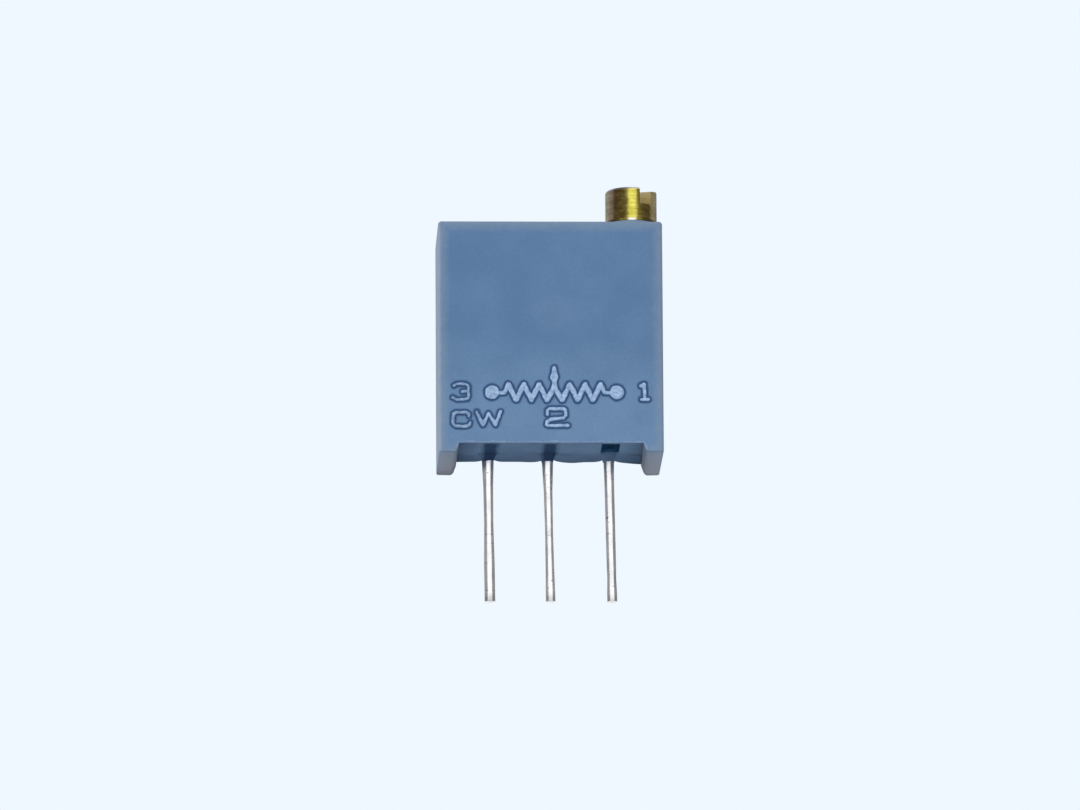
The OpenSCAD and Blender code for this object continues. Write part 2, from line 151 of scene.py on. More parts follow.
def edit(piece, select_mode="FACE"):
    """Opens a piece for editing, with nothing selected."""
    activate(piece)
    bpy.ops.object.mode_set(mode="EDIT")
    bpy.ops.mesh.select_mode(type=select_mode)
    bpy.ops.mesh.select_all(action="DESELECT")


def done():
    """Closes the piece that is being edited."""
    bpy.ops.object.mode_set(mode="OBJECT")


def bevel(radius, segments):
    """Rounds the selected edges."""
    bpy.ops.mesh.bevel(offset=radius, segments=segments, affect="EDGES")


def pick_faces(piece, wanted):
    """Selects the faces whose centre and normal pass the test, in edit mode."""
    bm = bmesh.from_edit_mesh(piece.data)
    for face in bm.faces:
        face.select_set(bool(wanted(face.calc_center_median(), face.normal)))
    bm.select_flush_mode()
    bmesh.update_edit_mesh(piece.data)


def pick_edges(piece, wanted):
    """Selects the edges whose two ends pass the test, in edit mode."""
    bm = bmesh.from_edit_mesh(piece.data)
    for edge in bm.edges:
        edge.select_set(bool(wanted(edge.verts[0].co, edge.verts[1].co)))
    bmesh.update_edit_mesh(piece.data)


def pick_points(piece, wanted):
    """Selects the points that pass the test, in edit mode."""
    bm = bmesh.from_edit_mesh(piece.data)
    for v in bm.verts:
        v.select_set(bool(wanted(v.co)))
    bm.select_flush_mode()
    bmesh.update_edit_mesh(piece.data)


def combine(piece, tool, how):
    """Joins or cuts a piece with a tool solid, which is used up."""
    activate(piece)
    modifier = piece.modifiers.new(how.lower(), "BOOLEAN")
    modifier.operation = how
    modifier.solver = "EXACT"
    modifier.object = tool
    bpy.ops.object.modifier_apply(modifier=modifier.name)
    bpy.data.objects.remove(tool)
    return piece


def cut(piece, tool):
    return combine(piece, tool, "DIFFERENCE")


def weld(piece, tool):
    return combine(piece, tool, "UNION")


def join(pieces):
    """Makes several pieces one object, under the first one's name."""
    clear_selection()
    for piece in pieces:
        piece.select_set(True)
    bpy.context.view_layer.objects.active = pieces[0]
    bpy.ops.object.join()
    return bpy.context.object


def merge_doubles():
    """Selects everything in the piece that is being edited, and merges the points that lie together."""
    bpy.ops.mesh.select_all(action="SELECT")
    bpy.ops.mesh.remove_doubles(threshold=0.0005)


def tidy_mesh(piece):
    """Merges doubled points and points the faces outwards."""
    edit(piece, "VERT")
    merge_doubles()
    bpy.ops.mesh.normals_make_consistent(inside=False)
    done()


def outline(name, points, centre=(0, 0)):
    """An open chain of edges beside an upright axis, from (radius, height) points."""
    mesh = bpy.data.meshes.new(name)
    mesh.from_pydata([(centre[0] + r, centre[1], z) for r, z in points],
                     [(i, i + 1) for i in range(len(points) - 1)], [])
    piece = bpy.data.objects.new(name, mesh)
    bpy.context.scene.collection.objects.link(piece)
    return piece


def turned(profile, centre=(0, 0), sides=96):
    """A closed lathe solid about an upright axis, from (radius, height) points, both ends on the axis."""
    piece = outline("turned", profile, centre)
    edit(piece, "VERT")
    bpy.ops.mesh.select_all(action="SELECT")
    bpy.ops.mesh.spin(steps=sides, angle=2 * math.pi, center=(*centre, 0), axis=(0, 0, 1))
    done()
    tidy_mesh(piece)
    return piece


def empty_slots(piece, count):
    """Gives a piece empty material slots, so that its faces can be shared out among them."""
    piece.data.materials.clear()
    for _ in range(count):
        piece.data.materials.append(None)


def finish_piece(piece, name, body, materials, replaces=()):
    """Smooths a piece, brings it to metres, gives it its finish and fixes it to its body."""
    piece.name = piece.data.name = name
    activate(piece)
    bpy.ops.object.shade_smooth_by_angle(angle=SMOOTH_ANGLE)
    piece.scale = (MM, MM, MM)
    bpy.ops.object.transform_apply(location=True, rotation=True, scale=True)
    for i, material in enumerate(materials):
        if i < len(piece.data.materials):
            piece.data.materials[i] = material
        else:
            piece.data.materials.append(material)
    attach(piece, body)
    if replaces:
        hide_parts(*replaces)


# ---- Materials ----

def tint(r, g, b):
    """A colour written in screen values, as the shader wants it."""
    def linear(c):
        c /= 255
        return c / 12.92 if c <= 0.04045 else ((c + 0.055) / 1.055) ** 2.4
    return linear(r), linear(g), linear(b), 1.0


class Finish:
    """A material with its nodes at hand. Patterns are measured in millimetres."""

    def __init__(self, name, roughness=0.5, metallic=0.0, centre=(0, 0, 0)):
        self.material = bpy.data.materials.new(name)
        self.material.use_nodes = True
        self.nodes = self.material.node_tree.nodes
        self.links = self.material.node_tree.links
        self.shader = self.nodes["Principled BSDF"]
        self.shader.inputs["Roughness"].default_value = roughness
        self.shader.inputs["Metallic"].default_value = metallic
        place = self.nodes.new("ShaderNodeTexCoord")
        self.mm = self.nodes.new("ShaderNodeMapping")
        self.mm.inputs["Scale"].default_value = (1000, 1000, 1000)
        self.mm.inputs["Location"].default_value = [-c for c in centre]
        self.link(place.outputs["Object"], self.mm.inputs["Vector"])

    def link(self, value, socket):
        """Feeds a socket with another node's output, or with a plain number or colour."""
        if isinstance(value, (tuple, float, int)):
            socket.default_value = value
        else:
            self.links.new(value, socket)

    def noise(self, scale, detail=3, rough=0.5, stretch=None):
        """An uneven grey pattern, finer as the scale grows, and finer along an axis by its stretch."""
        pattern = self.nodes.new("ShaderNodeTexNoise")
        pattern.inputs["Scale"].default_value = scale
        pattern.inputs["Detail"].default_value = detail
        pattern.inputs["Roughness"].default_value = rough
        source = self.mm.outputs["Vector"]
        if stretch:
            mapping = self.nodes.new("ShaderNodeMapping")
            mapping.inputs["Scale"].default_value = stretch
            self.link(source, mapping.inputs["Vector"])
            source = mapping.outputs["Vector"]
        self.link(source, pattern.inputs["Vector"])
        return pattern.outputs["Fac"]

    def ramp(self, value, stops):
        """Colours, or grey levels, along a value."""
        ramp = self.nodes.new("ShaderNodeValToRGB")
        while len(ramp.color_ramp.elements) < len(stops):
            ramp.color_ramp.elements.new(0.5)
        for element, (at, colour) in zip(ramp.color_ramp.elements, stops):
            element.position = at
            element.color = colour if isinstance(colour, tuple) else (colour, colour, colour, 1)
        self.link(value, ramp.inputs["Fac"])
        return ramp.outputs["Color"]

    def mix(self, factor, a, b, how="MIX"):
        """Goes from a to b by a factor."""
        mix = self.nodes.new("ShaderNodeMix")
        mix.data_type = "RGBA"
        mix.blend_type = how
        for value, socket in ((factor, mix.inputs[0]), (a, mix.inputs[6]), (b, mix.inputs[7])):
            self.link(value, socket)
        return mix.outputs[2]

    def times(self, a, b):
        """One colour dimmed by another."""
        return self.mix(1.0, a, b, "MULTIPLY")

    def math(self, how, a, b=0.0):
        """A sum on one or two values."""
        sum_node = self.nodes.new("ShaderNodeMath")
        sum_node.operation = how
        self.link(a, sum_node.inputs[0])
        self.link(b, sum_node.inputs[1])
        return sum_node.outputs[0]

    def unevenness(self, pattern, amount):
        """A pattern as a value that swings about nought."""
        return self.math("MULTIPLY", self.math("SUBTRACT", pattern, 0.5), amount)

    def axes(self):
        """The place x, y, z in millimetres."""
        parts = self.nodes.new("ShaderNodeSeparateXYZ")
        self.link(self.mm.outputs["Vector"], parts.inputs[0])
        return parts.outputs

    def colour(self, value):
        self.link(value, self.shader.inputs["Base Color"])

    def roughness(self, value, low, high):
        """Roughness that follows a pattern between two levels."""
        levels = self.nodes.new("ShaderNodeMapRange")
        levels.inputs["To Min"].default_value = low
        levels.inputs["To Max"].default_value = high
        self.link(value, levels.inputs["Value"])
        self.link(levels.outputs[0], self.shader.inputs["Roughness"])

    def bump(self, height, depth_mm, strength):
        """Fine unevenness that follows a pattern."""
        bump = self.nodes.new("ShaderNodeBump")
        bump.inputs["Strength"].default_value = strength
        bump.inputs["Distance"].default_value = depth_mm * MM
        self.link(height, bump.inputs["Height"])
        self.link(bump.outputs[0], self.shader.inputs["Normal"])


def moulding():
    """Blue moulded plastic: softly mottled, paler low down as painted light, greyer along the outer edges as
    a painted sheen, finely grained.

    What stands proud of the front face is pale along its top as a painted highlight, and dark blue where it
    meets the face as painted shade.
    """
    f = Finish("blue_moulding", 0.5)
    f.shader.inputs["Specular IOR Level"].default_value = 0.25
    x, y, z = f.axes()
    mottle = f.noise(0.55, 2)
    # painted light: the lower part of the case is paler
    upper = f.ramp(mottle, [(0.3, tint(97, 136, 179)), (0.7, tint(106, 144, 187))])
    lower = f.ramp(mottle, [(0.3, tint(112, 149, 191)), (0.7, tint(121, 158, 199))])
    body = f.mix(f.ramp(f.math("DIVIDE", z, TOP_Z), [(0.2, 1.0), (0.5, 0.0)]), upper, lower)
    body = f.times(body, f.ramp(f.noise(9, 4, 0.7), [(0.25, 0.86), (0.75, 1.0)]))

    # the outer edges: a painted sheen, greyer and uneven, palest along the far left edge
    side = f.math("SUBTRACT", HALF_W, f.math("ABSOLUTE", x))
    edge = f.math("MINIMUM", side, f.math("SUBTRACT", TOP_Z, z))
    edge = f.math("MINIMUM", edge, f.math("ADD", z, 0.06))
    edge_sheen = f.math("ADD", edge, f.math("MULTIPLY", f.noise(2.5, 3), 0.35))
    across = f.math("ADD", f.math("DIVIDE", x, 2 * HALF_W), 0.5)
    rim = f.ramp(across, [(0.004, tint(173, 187, 202)), (0.016, tint(143, 162, 184))])
    body = f.mix(f.ramp(edge_sheen, [(0.12, 0.8), (0.68, 0.0)]), body, rim)

    # the raised marks, from their foot to their crest: painted shade in dark blue at the foot, a painted
    # highlight along the crest, dimmer to the left
    proud = f.math("DIVIDE", f.math("SUBTRACT", FRONT_Y, y), MARK_T)
    foot = f.ramp(proud, [(0.0, 0.0), (0.12, 0.52), (0.28, 0.92), (0.48, 0.92), (0.64, 0.0)])
    body = f.mix(foot, body, tint(33, 74, 121))
    speckle = f.noise(6, 4, 0.75)
    crest = f.ramp(speckle, [(0.38, tint(136, 168, 212)), (0.6, tint(194, 221, 255))])
    crest = f.times(crest, f.ramp(across, [(0.1, 0.76), (0.26, 1.0)]))
    high = f.math("ADD", proud, f.unevenness(speckle, 0.4))
    f.colour(f.mix(f.ramp(high, [(0.48, 0.0), (0.8, 1.0)]), body, crest))
    f.roughness(f.noise(6, 3), 0.42, 0.6)
    f.bump(f.noise(14, 5, 0.65), 0.012, 0.6)
    return f.material


def brass():
    """Bright turned brass: uneven tool marks around the axis, small dents, painted shade along the head's
    lowest band and a near-white painted glint low down at its front.
    """
    f = Finish("brass", 0.25, 1.0, centre=(SCREW_X, SCREW_Y, 0))
    x, y, z = f.axes()
    rings = f.noise(1.0, 4, 0.55, stretch=(0.6, 0.6, 18))
    blotch = f.noise(3.2, 4, 0.65)
    body = f.ramp(f.mix(0.5, rings, blotch), [(0.38, tint(166, 156, 60)), (0.6, tint(208, 200, 98))])
    # painted shade: the head's lowest band is darkened all round
    low = f.ramp(f.math("SUBTRACT", z, HEAD_BOTTOM), [(0.05, 1.0), (0.13, 0.0)])
    body = f.mix(f.math("MULTIPLY", low, 0.85), body, tint(78, 66, 32))
    # a painted glint: near-white in that band, over the middle of the front
    middle = f.ramp(f.math("ABSOLUTE", x), [(0.1, 0.9), (0.24, 0.0)])
    glint = f.math("MULTIPLY", f.math("MULTIPLY", low, middle), f.math("LESS_THAN", y, 0.0))
    f.colour(f.mix(glint, body, tint(250, 246, 232)))
    f.roughness(blotch, 0.12, 0.34)
    f.bump(f.mix(0.82, rings, blotch), 0.035, 0.35)
    return f.material


def sawn_brass():
    """The slot's walls and floor, sawn and dull."""
    f = Finish("sawn_brass", 0.5, 0.35)
    scratches = f.noise(1.0, 4, 0.6, stretch=(3, 3, 30))
    f.colour(f.ramp(scratches, [(0.35, tint(206, 190, 116)), (0.65, tint(232, 220, 144))]))
    f.bump(scratches, 0.02, 0.6)
    return f.material


def tinned():
    """Bright tin plate on drawn wire: fine streaks along it, a few nicks across it, and painted shade
    darkening its lower end.
    """
    f = Finish("tin_plate", 0.2, 1.0)
    z = f.axes()[2]
    streaks = f.noise(1.0, 4, 0.6, stretch=(14, 14, 0.8))
    patches = f.noise(1.6, 3)
    plate = f.ramp(f.mix(0.5, streaks, patches), [(0.35, tint(206, 206, 209)), (0.6, tint(240, 240, 241))])
    nicks = f.ramp(f.noise(1.0, 2, 0.5, stretch=(2.5, 2.5, 9)), [(0.3, 0.55), (0.36, 1.0)])
    # painted shade: darker towards the lower end
    end_shade = f.ramp(f.math("ADD", z, PIN_L), [(0.05, 0.72), (0.45, 1.0)])
    f.colour(f.times(f.times(plate, nicks), end_shade))
    f.roughness(patches, 0.14, 0.3)
    f.bump(streaks, 0.006, 0.5)
    return f.material


def epoxy():
    """Poured grey-blue epoxy, a little cloudy, with painted shade towards the rear, at both ends and through
    pin 1's window, and dark smudges before pins 2 and 3, partly wetting and partly painted shadow of the
    pins.
    """
    f = Finish("epoxy", 0.5)
    f.shader.inputs["Specular IOR Level"].default_value = 0.0
    x, y, z = f.axes()
    body = f.ramp(f.noise(0.8, 3), [(0.3, tint(108, 132, 163)), (0.7, tint(121, 146, 177))])
    # painted shade: darker towards the rear, under the body, and at both ends beside the feet
    rear = f.ramp(f.math("ADD", f.math("MULTIPLY", y, 0.2), 0.5), [(0.3, 1.0), (0.95, 0.6)])
    ends = f.ramp(f.math("DIVIDE", f.math("ABSOLUTE", x), 4.0), [(0.76, 1.0), (0.97, 0.66)])
    body = f.times(f.times(body, rear), ends)

    # dark smudges, each about a pin's own row: partly wetting, partly the pin's painted shadow
    across = f.math("MULTIPLY", f.math("PINGPONG", x, PIN_PITCH / 2), 2.1)
    along = f.math("ABSOLUTE", f.math("MULTIPLY", f.math("ADD", y, 0.95), 0.5))
    reach = f.math("ADD", f.math("MAXIMUM", across, along), f.unevenness(f.noise(2.0, 3), 0.4))
    smudge_and_shadow = f.ramp(reach, [(0.42, 0.92), (0.8, 0.0)])
    smudge_and_shadow = f.math("MULTIPLY", smudge_and_shadow, f.math("LESS_THAN", x, PIN_PITCH / 2))
    body = f.mix(smudge_and_shadow, body, tint(50, 72, 104))

    # painted shade: what shows through the empty window at pin 1 is a darker blue, as the shade far inside it
    window_shade = f.math("MULTIPLY", f.math("LESS_THAN", y, -0.2), f.math("GREATER_THAN", z, FOOT_H + 0.05))
    window_shade = f.math("MULTIPLY", window_shade, f.math("GREATER_THAN", x, PIN_PITCH / 2))
    f.colour(f.mix(window_shade, body, tint(60, 104, 146)))
    f.roughness(f.noise(2.0, 3), 0.42, 0.6)
    f.bump(f.noise(1.4, 3), 0.04, 0.5)
    return f.material


def sole_finish():
    """The feet's soles, greyer than the case as painted light from below, with a scuffed grain: blue-grey in
    front, warmer behind, and painted shade inwards, at the left rear and along the rear edge.
    """
    f = Finish("sole_light_and_shade", 0.6)
    x, y = f.axes()[:2]
    along = f.math("ADD", f.math("DIVIDE", y, 2 * BACK_Y), 0.5)
    # painted light and shade along the sole: bluer in front by the face, darkest along the rear edge
    body = f.ramp(along, [(0.0, tint(124, 147, 179)), (0.2, tint(128, 146, 172)), (0.4, tint(132, 145, 168)),
                          (0.8, tint(136, 142, 165)), (0.97, tint(124, 130, 148)), (1.0, tint(86, 94, 108))])
    # painted shade at the left foot's rear
    left = f.times(body, f.ramp(along, [(0.62, 1.0), (0.95, 0.62)]))
    body = f.mix(f.math("LESS_THAN", x, 0.0), body, left)
    outwards = f.math("DIVIDE", f.math("ABSOLUTE", x), HALF_W)
    # painted shade towards the inner sides
    body = f.times(body, f.ramp(outwards, [(0.85, 0.83), (0.96, 1.0)]))
    f.colour(f.times(body, f.ramp(f.noise(7, 4, 0.65), [(0.3, 0.86), (0.7, 1.0)])))
    f.bump(f.noise(12, 4, 0.6), 0.01, 0.5)
    return f.material


def plain(name, low, high, roughness, metallic=0.0, grain=5.0, stretch=None):
    """A finish of two shades with a grain and a slight unevenness."""
    f = Finish(name, roughness, metallic)
    pattern = f.noise(grain, 4, 0.6, stretch=stretch)
    f.colour(f.ramp(pattern, [(0.3, low), (0.7, high)]))
    f.roughness(pattern, roughness * 0.8, min(1.0, roughness * 1.25))
    f.bump(pattern, 0.01, 0.5)
    return f.material


# ---- Case ----

def outer_case():
    """The block with the channel between its feet, and its rounded outer edges."""
    case = box((-HALF_W, FRONT_Y, 0), (HALF_W, BACK_Y, TOP_Z))
    below = 0.2
    wide = CHANNEL_LOW + FOOT_SLOPE * below / FOOT_H
    channel = box((-wide, FRONT_Y - CLEAR, -below), (wide, BACK_Y + CLEAR, FOOT_H))
    edit(channel)
    pick_faces(channel, lambda c, n: n.z > 0.5)
    bpy.ops.transform.resize(value=(CHANNEL_HIGH / wide, 1, 1))
    done()
    cut(case, channel)

    def outer(a, b):
        upright = abs(b.z - a.z) > 0.5 and abs(a.x) > HALF_W - 0.01 and abs(a.y) > BACK_Y - 0.01
        return upright or min(a.z, b.z) > TOP_Z - 0.01

    edit(case, "EDGE")
    pick_edges(case, outer)
    bevel(EDGE_R, 5)
    done()
    return case


def widening(p):
    """How far the channel's side stands out at a point, as the channel is a little wider behind."""
    return (0.1 if p.x > 0 else -0.03) * (p.y - FRONT_Y) / (BACK_Y - FRONT_Y)


def round_lower_edges(piece):
    """Rounds the feet's and the front wall's lower edges, tears the wall's, and widens the channel behind."""
    def inner(a, b):
        return max(a.z, b.z) < 0.001 and max(abs(a.x), abs(b.x)) < CHANNEL_LOW + 0.01

    def on_front(a, b):
        return max(a.y, b.y) < FRONT_Y + 0.001

    def wall_end(a, b):
        return on_front(a, b) and max(abs(a.z - FOOT_H), abs(b.z - FOOT_H)) < 0.001

    def lower(a, b):
        outside = min(abs(a.x), abs(b.x)) > HALF_W - EDGE_R - 0.001 or min(a.y, b.y) > BACK_Y - 0.001
        in_front = on_front(a, b) and max(a.z, b.z) < FOOT_H + 0.001
        return in_front or (outside and max(a.z, b.z) < 0.001)

    edit(piece, "EDGE")
    pick_edges(piece, inner)
    bevel(0.15, 5)
    pick_edges(piece, wall_end)
    bpy.ops.mesh.subdivide(number_cuts=90)
    pick_edges(piece, lower)
    bevel(LOW_R, 3)
    done()
    for v in piece.data.vertices:
        p = v.co
        on_wall = abs(p.x) < CHANNEL_HIGH - LOW_R - 0.02 and p.y < FRONT_Y + LOW_R + 0.01
        if on_wall and FOOT_H - 0.01 < p.z < FOOT_H + LOW_R + 0.01:
            tear_edge(p)
        elif CHANNEL_HIGH - 0.02 < abs(p.x) < CHANNEL_LOW + 0.17 and p.z < FOOT_H + 0.02:
            p.x += widening(p)


def tear_edge(p):
    """Moves a point of the front wall's lower edge, which is slightly torn, as the mould leaves it."""
    tear = noise.noise(Vector((p.x * 2.2, 5.0, 0))) + 0.8 * noise.noise(Vector((p.x * 7.0, 2.0, 0)))
    crumb = sum(math.exp(-((p.x - x) / 0.1) ** 2) for x in (-2.47, 0.04))
    share = (p.z - FOOT_H) / LOW_R
    p.z += share * (max(-0.03, 0.07 * tear) + 0.05 * crumb)
    p.y += (1 - share) * 0.03 * tear


def hollow(piece):
    """Cuts the rear pocket and the spaces of the worm drive, and leaves the post that the wheel turns on."""
    cut(piece, box((-POCKET_HALF_W, SUBSTRATE_FRONT, FLOOR_TOP), (POCKET_HALF_W, BACK_Y + CLEAR, CEILING)))
    cut(piece, box((-REAR_HALF_W, SUBSTRATE_FRONT, -CLEAR), (REAR_HALF_W, BACK_Y + CLEAR, FLOOR_TOP + 0.2)))
    front, through = FRONT_Y + FRONT_WALL, SUBSTRATE_FRONT + 0.1
    cut(piece, rod((WHEEL_X, front, WHEEL_Z), (WHEEL_X, through, WHEEL_Z), WHEEL_CAVITY_R, 96))
    # the screw's journal and bore, the bore's open side, and the clip's slot
    cut(piece, rod((SCREW_X, SCREW_Y, 1.3), (SCREW_X, SCREW_Y, 2.4), JOURNAL_R + 0.03, 48))
    cut(piece, rod((SCREW_X, SCREW_Y, BORE_LOW), (SCREW_X, SCREW_Y, TOP_Z + CLEAR), BORE_R))
    near, clip_half_w, clip_h = BORE_R - HAIR, 0.99, 0.26
    cut(piece, box((SCREW_X - near, SCREW_Y + 0.003, BORE_LOW + HAIR),
                   (SCREW_X + near, through, CEILING - HAIR)))
    cut(piece, box((SCREW_X - clip_half_w, SCREW_Y - clip_half_w + 0.01, CEILING - clip_h),
                   (SCREW_X + clip_half_w, through, CEILING - 0.002)))
    # the windows in the floor, each with the slit that the pin's fork stands in
    for i in (-1, 0, 1):
        x, half = i * PIN_PITCH, WINDOW_HALF_W
        cut(piece, box((x - half, WINDOW_FRONT, -CLEAR), (x + half, through, FOOT_H + 0.6)))
        half += 0.003
        cut(piece, box((x - half, FORK_FRONT - 0.05, FOOT_H - 0.1), (x + half, through + 0.003, 2.15)))
    weld(piece, rod((WHEEL_X, front - 0.2, WHEEL_Z), (WHEEL_X, front + 0.09, WHEEL_Z), POST_R + 0.3, 48))
    weld(piece, rod((WHEEL_X, front - 0.2, WHEEL_Z), (WHEEL_X, POST_END, WHEEL_Z), POST_R, 48))


def case():
    """The whole moulding: block, collar under the screw's head, spaces inside and soft edges."""
    def rear_rim(a, b):
        return (min(a.y, b.y) > BACK_Y - 0.01 and max(abs(a.x), abs(b.x)) < POCKET_HALF_W + 0.01
                and min(a.z, b.z) > FOOT_H + 0.01 and max(a.z, b.z) < CEILING + 0.01)

    def window_rim(a, b):
        return (max(abs(a.z - FOOT_H), abs(b.z - FOOT_H)) < 0.01 and max(a.y, b.y) < SUBSTRATE_FRONT - 0.01
                and max(abs(a.x), abs(b.x)) < PIN_PITCH + 0.4)

    piece = outer_case()
    top = TOP_Z + COLLAR_H
    weld(piece, turned([(0, TOP_Z - 0.3), (COLLAR_R, TOP_Z - 0.3), (COLLAR_R, top - 0.04),
                        (COLLAR_R - 0.04, top), (0, top)], (SCREW_X, SCREW_Y)))
    hollow(piece)
    tidy_mesh(piece)
    round_lower_edges(piece)
    edit(piece, "EDGE")
    pick_edges(piece, rear_rim)
    bevel(0.04, 2)
    pick_edges(piece, window_rim)
    bevel(0.025, 2)
    done()
    piece = join([piece, burr()])
    share_out(piece)
    return piece


def burr():
    """A crumb of flash on the left foot's lower front edge."""
    crumb = box((-4.38, FRONT_Y - 0.025, 0.04), (-4.06, FRONT_Y + 0.08, 0.085))
    edit(crumb, "EDGE")
    bpy.ops.mesh.select_all(action="SELECT")
    bevel(0.014, 2)
    pick_points(crumb, lambda p: p.x > -4.1)
    bpy.ops.transform.translate(value=(0, 0, -0.025))
    done()
    return crumb


# the case's material slots after the first, which is the plain blue
WINDOW_WALL, SOLE, EDGE_HIGHLIGHT, UNDERSIDE_SHADE = 1, 2, 3, 4


def share_out(piece):
    """Shares the case's faces out among its finishes."""
    empty_slots(piece, UNDERSIDE_SHADE + 1)
    for face in piece.data.polygons:
        c, n = face.center, face.normal
        in_window = any(abs(c.x - i * PIN_PITCH) < WINDOW_HALF_W + 0.001 for i in (-1, 0, 1))
        under_foot = c.y > FRONT_Y + 0.001 and n.z < -0.5
        foot_side = c.y > FRONT_Y + LOW_R - 0.005 and n.x * c.x < -0.1
        torn = c.y < FRONT_Y + 0.045 and abs(c.x) < CHANNEL_HIGH + 0.16 and c.z < FOOT_H + 0.1
        # the windows' walls take the painted shade
        if in_window and FOOT_H + 0.03 < c.z < 2.2 and FRONT_Y + 0.2 < c.y < 0:
            face.material_index = WINDOW_WALL
        # the soles take their painted light and shade
        elif c.z < FOOT_H - 0.01 and (under_foot or foot_side):
            face.material_index = SOLE
        # the torn lip's bevels and the burr take the painted highlight
        elif (torn and -0.99 < n.y < -0.4) or c.y < FRONT_Y - 0.001:
            face.material_index = EDGE_HIGHLIGHT
        # painted shade: the case's underside between the feet takes the darker epoxy finish
        elif abs(c.x) < CHANNEL_HIGH + 0.01 and FOOT_H - 0.01 < c.z < FOOT_H + 0.03 and n.z < -0.5:
            face.material_index = UNDERSIDE_SHADE


# ---- Raised marks on the front ----

ZIG_STEP, ZIG_H = 0.325, 0.66
DOT_X, DOT_R = 2.64, 0.22
# strokes as points (x, z) from the mark's middle, some with a third number that widens the stroke there
THREE = [[(-0.27, 0.27), (-0.18, 0.335), (0.2, 0.34), (0.31, 0.29), (0.34, 0.2), (0.34, -0.2), (0.29, -0.3),
          (0.16, -0.335), (-0.18, -0.34), (-0.34, -0.25)], [(0.07, 0.0), (0.32, 0.04)]]
ONE = [[(-0.16, 0.24), (-0.02, 0.31, 0.01), (0.01, -0.34, 0.01)], [(-0.13, -0.35), (0.16, -0.34)]]
TWO = [[(-0.42, 0.09), (-0.42, 0.27), (-0.34, 0.34), (0.25, 0.34), (0.35, 0.28), (0.36, 0.05), (0.26, -0.05),
        (-0.3, -0.13), (-0.43, -0.22), (-0.45, -0.35), (-0.38, -0.385), (0.45, -0.375)]]
LETTER_C = [[(0.32, 0.12, -0.02), (0.31, 0.22), (0.21, 0.295), (-0.2, 0.3), (-0.32, 0.24), (-0.36, 0.12),
             (-0.36, -0.14), (-0.31, -0.25), (-0.2, -0.3), (0.2, -0.31), (0.34, -0.25), (0.38, -0.13, -0.01)]]
LETTER_W = [[(-0.49, 0.32), (-0.23, -0.25, 0.01), (0.01, 0.24), (0.3, -0.24, 0.01), (0.52, 0.33)]]
ARROW = [[(-0.01, 1.06, 0.01), (0, 0.8, 0.05), (-0.01, 0.64, 0.09), (0, 0.47, 0.03), (0, 0.22, 0.07)],
         [(-0.01, 0.68, 0.02), (-0.09, 0.6, 0.01)]]
GRID_STEP = 0.027
# a stroke's section: distance from its middle line, and share of the marks' full height
SHOULDER = ((0.02, 1.0), (0.045, 0.85), (0.07, 0.5), (0.115, 0.3), (0.155, 0.14), (0.2, 0.0))
SUNK = 0.03


def resistor_symbol():
    """A zigzag between two dots, with the wiper's arrow over its middle."""
    symbol = list(ARROW)
    for side in (-1, 1):
        zigzag = [(side * ZIG_STEP * (i + 1), ZIG_H * (i % 2 - 0.5), 0.035) for i in range(6)]
        lead = [(side * 2.12, -0.02, 0.01), (side * DOT_X, -0.02, 0.0)]
        symbol.append([(0, 0.2, 0.04)] + zigzag + lead)
        symbol.append([(side * DOT_X, -0.03, DOT_R), (side * (DOT_X + 0.01), -0.04, DOT_R)])
    return symbol


def depth_in_stroke(x, z, strokes):
    """Least distance from a point to the strokes, less their widening, and a little more below them."""
    best = 9.0
    for points in strokes:
        for a, b in zip(points, points[1:]):
            dx, dz = b[0] - a[0], b[1] - a[1]
            t = min(1, max(0, ((x - a[0]) * dx + (z - a[1]) * dz) / (dx * dx + dz * dz)))
            off_x, off_z = x - a[0] - t * dx, z - a[1] - t * dz
            away = math.hypot(off_x, off_z)
            wider = (a[2] if len(a) > 2 else 0) * (1 - t) + (b[2] if len(b) > 2 else 0) * t
            best = min(best, away - wider - (0.14 * off_z if away > 0.05 else 0))
    return best


def shoulder_height(d):
    """Height of a stroke's skin over the face, as a share of the marks' height. Past the stroke it dips."""
    for (d0, h0), (d1, h1) in zip(SHOULDER, SHOULDER[1:]):
        if d < d1:
            return h0 + (h1 - h0) * max(0, d - d0) / (d1 - d0)
    return -0.12


def relief(strokes, middle, finer=0.0):
    """Strokes that swell out of the face with soft shoulders, as one closed skin."""
    margin = 0.45
    xs, zs = [[point[i] for points in strokes for point in points] for i in (0, 1)]
    low_x, high_x, low_z, high_z = min(xs) - margin, max(xs) + margin, min(zs) - margin, max(zs) + margin
    clear_selection()
    bpy.ops.mesh.primitive_grid_add(x_subdivisions=math.ceil((high_x - low_x) / GRID_STEP),
                                    y_subdivisions=math.ceil((high_z - low_z) / GRID_STEP), size=1)
    skin = bpy.context.object
    skin.scale = (high_x - low_x, high_z - low_z, 1)
    skin.rotation_euler = (math.radians(90), 0, 0)
    skin.location = (middle[0] + (low_x + high_x) / 2, FRONT_Y + SUNK, middle[1] + (low_z + high_z) / 2)
    apply_place(skin)

    def depth(p):
        d = depth_in_stroke(p.x - middle[0], p.z - middle[1], strokes) + finer
        return d + 0.022 * noise.noise(Vector((p.x * 5, 1.3, p.z * 5))) if d < 1 else d

    edit(skin)
    pick_faces(skin, lambda c, n: depth(c) > SHOULDER[-1][0] + GRID_STEP)
    bpy.ops.mesh.delete(type="FACE")
    bpy.ops.mesh.select_all(action="SELECT")
    bpy.ops.mesh.extrude_region_move(TRANSFORM_OT_translate={"value": (0, -SUNK, 0)})
    done()
    for v in skin.data.vertices:
        if v.co.y < FRONT_Y + 0.01:
            v.co.y = FRONT_Y - MARK_T * shoulder_height(depth(v.co))
    tidy_mesh(skin)
    return skin


